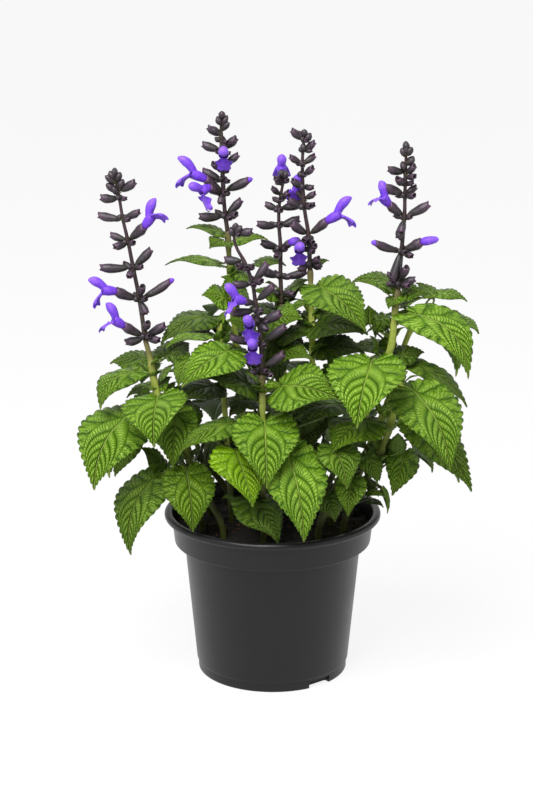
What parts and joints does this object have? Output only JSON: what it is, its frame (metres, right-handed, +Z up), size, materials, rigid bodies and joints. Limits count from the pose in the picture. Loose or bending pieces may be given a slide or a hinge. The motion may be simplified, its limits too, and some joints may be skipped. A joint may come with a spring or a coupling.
{
  "type": "potted perennial salvia",
  "caption": "Bushy perennial salvia with broad toothed leaves and violet-blue flowers on dark upright spikes, growing in a round black nursery pot of peat.",
  "frame": {"origin": "centre of the flat underside of the pot", "axes": "+Z up along the pot's axis, -Y towards the front of the plant, +X to the right of someone facing its front"},
  "size_m": [0.3468, 0.236, 0.4922],
  "materials": {
    "pot_plastic": "satin black moulded polypropylene",
    "peat": "moist crumbly peat with fibres",
    "leaf": "quilted soft green leaf with a semi-gloss upper side",
    "calyx": "dark purple, finely ribbed, dull",
    "corolla": "violet-blue velvety petal"
  },
  "bodies": {
    "root": {"pot": "pot_plastic", "soil": "peat", "leafy_stem_left": "leaf", "leafy_stem_tall": "leaf", "leafy_stem_front": "leaf", "leafy_stem_middle": "leaf", "leafy_stem_rear": "leaf", "leafy_stem_right": "leaf", "leafy_stem_right_high": "leaf", "leafy_stem_right_low": "leaf", "leafy_stem_front_right": "leaf", "leafy_stem_front_low": "leaf", "leafy_stem_front_left": "leaf", "leafy_stem_inner_left": "leaf", "leafy_stem_back_left": "leaf", "leafy_stem_back_left_low": "leaf", "leafy_stem_back_low": "leaf", "leafy_stem_back_right_low": "leaf", "leafy_stem_back_right": "leaf", "leafy_stem_back_right_high": "leaf", "flower_spike_left": "calyx", "corolla_left_1": "corolla", "corolla_left_2": "corolla", "corolla_left_3": "corolla", "flower_spike_tall": "calyx", "corolla_tall_1": "corolla", "corolla_tall_2": "corolla", "corolla_tall_3": "corolla", "flower_spike_front": "calyx", "corolla_front_1": "corolla", "corolla_front_2": "corolla", "corolla_front_3": "corolla", "flower_spike_middle": "calyx", "corolla_middle_1": "corolla", "corolla_middle_2": "corolla", "flower_spike_rear": "calyx", "corolla_rear_1": "corolla", "corolla_rear_2": "corolla", "corolla_rear_3": "corolla", "flower_spike_right": "calyx", "corolla_right_1": "corolla", "corolla_right_2": "corolla"}
  },
  "joints": []
}
